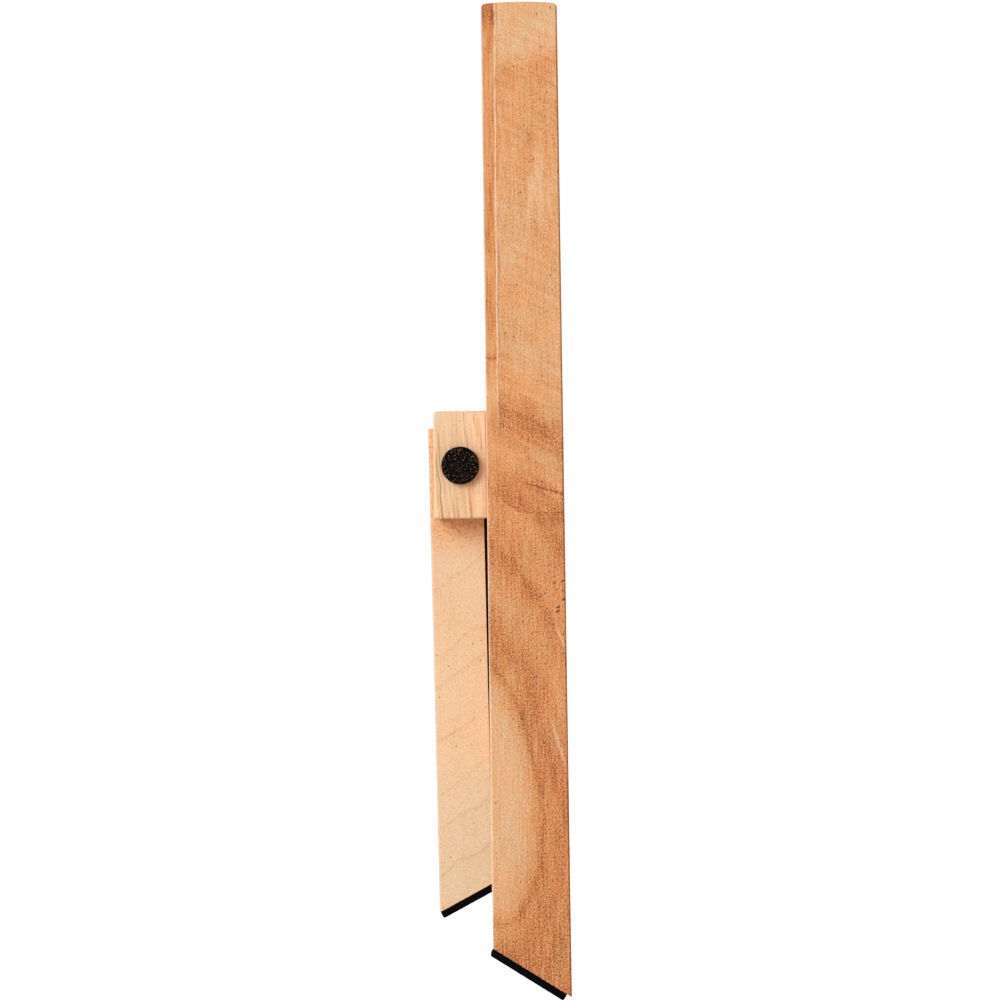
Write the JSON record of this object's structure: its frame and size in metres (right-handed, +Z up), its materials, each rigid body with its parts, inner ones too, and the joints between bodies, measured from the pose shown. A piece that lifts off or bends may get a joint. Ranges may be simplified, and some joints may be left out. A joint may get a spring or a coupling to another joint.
{
  "type": "tabletop artist easel",
  "caption": "Wooden folding tabletop easel: A-frame of splayed front legs, rear leg on a pivot bolt between hinge blocks, fold-out canvas ledge, slanted feet with rubber pads.",
  "frame": {"origin": "centre of the folded easel's bounding box in plan, at the height of the lowest edge of the front foot pads", "axes": "+Z up along the front legs, +X towards the front (the side a canvas leans on), +Y to the right of somebody who faces the easel; the rear leg is folded flat"},
  "size_m": [0.056, 0.2068, 0.4064],
  "materials": {
    "leg_wood": "sanded, clear matt coat, orange-tan",
    "rail_wood": "sanded, clear matt coat",
    "pale_wood": "sanded, clear matt coat, pale",
    "dowel_wood": "raw turned wood",
    "pad_rubber": "matt black rubber",
    "cap_black": "coarse matt black",
    "bolt_steel": "zinc plated",
    "screw_steel": "yellow zinc plated",
    "fibre": "vulcanised fibre"
  },
  "bodies": {
    "frame": {"front_leg_left": "leg_wood", "front_leg_right": "leg_wood", "apex_dowels": "dowel_wood", "hinge_rail": "rail_wood", "lower_rail": "rail_wood", "rail_dowels": "dowel_wood", "hinge_block_left": "pale_wood", "hinge_block_right": "pale_wood", "block_screws": "screw_steel", "pivot_bolt": "bolt_steel", "pivot_nut": "bolt_steel", "pivot_washers": "bolt_steel", "leg_washers": "fibre", "pivot_cap_left": "cap_black", "pivot_cap_right": "cap_black", "front_foot_pad_left": "pad_rubber", "front_foot_pad_right": "pad_rubber", "ledge_pins": "bolt_steel"},
    "rear_leg": {"rear_leg": "pale_wood", "rear_foot_pad": "pad_rubber"},
    "ledge": {"ledge_board": "rail_wood", "ledge_lip": "rail_wood"}
  },
  "joints": [
    {"name": "rear_leg_fold", "type": "hinge", "parent": "frame", "child": "rear_leg", "pos_m": [-0.01461, 0, 0.2148], "axis": [0, 1, 0], "range_deg": [0, 60]},
    {"name": "ledge_fold", "type": "hinge", "parent": "frame", "child": "ledge", "pos_m": [0.01039, 0, 0.1144], "axis": [0, 1, 0], "range_deg": [0, 90]}
  ]
}
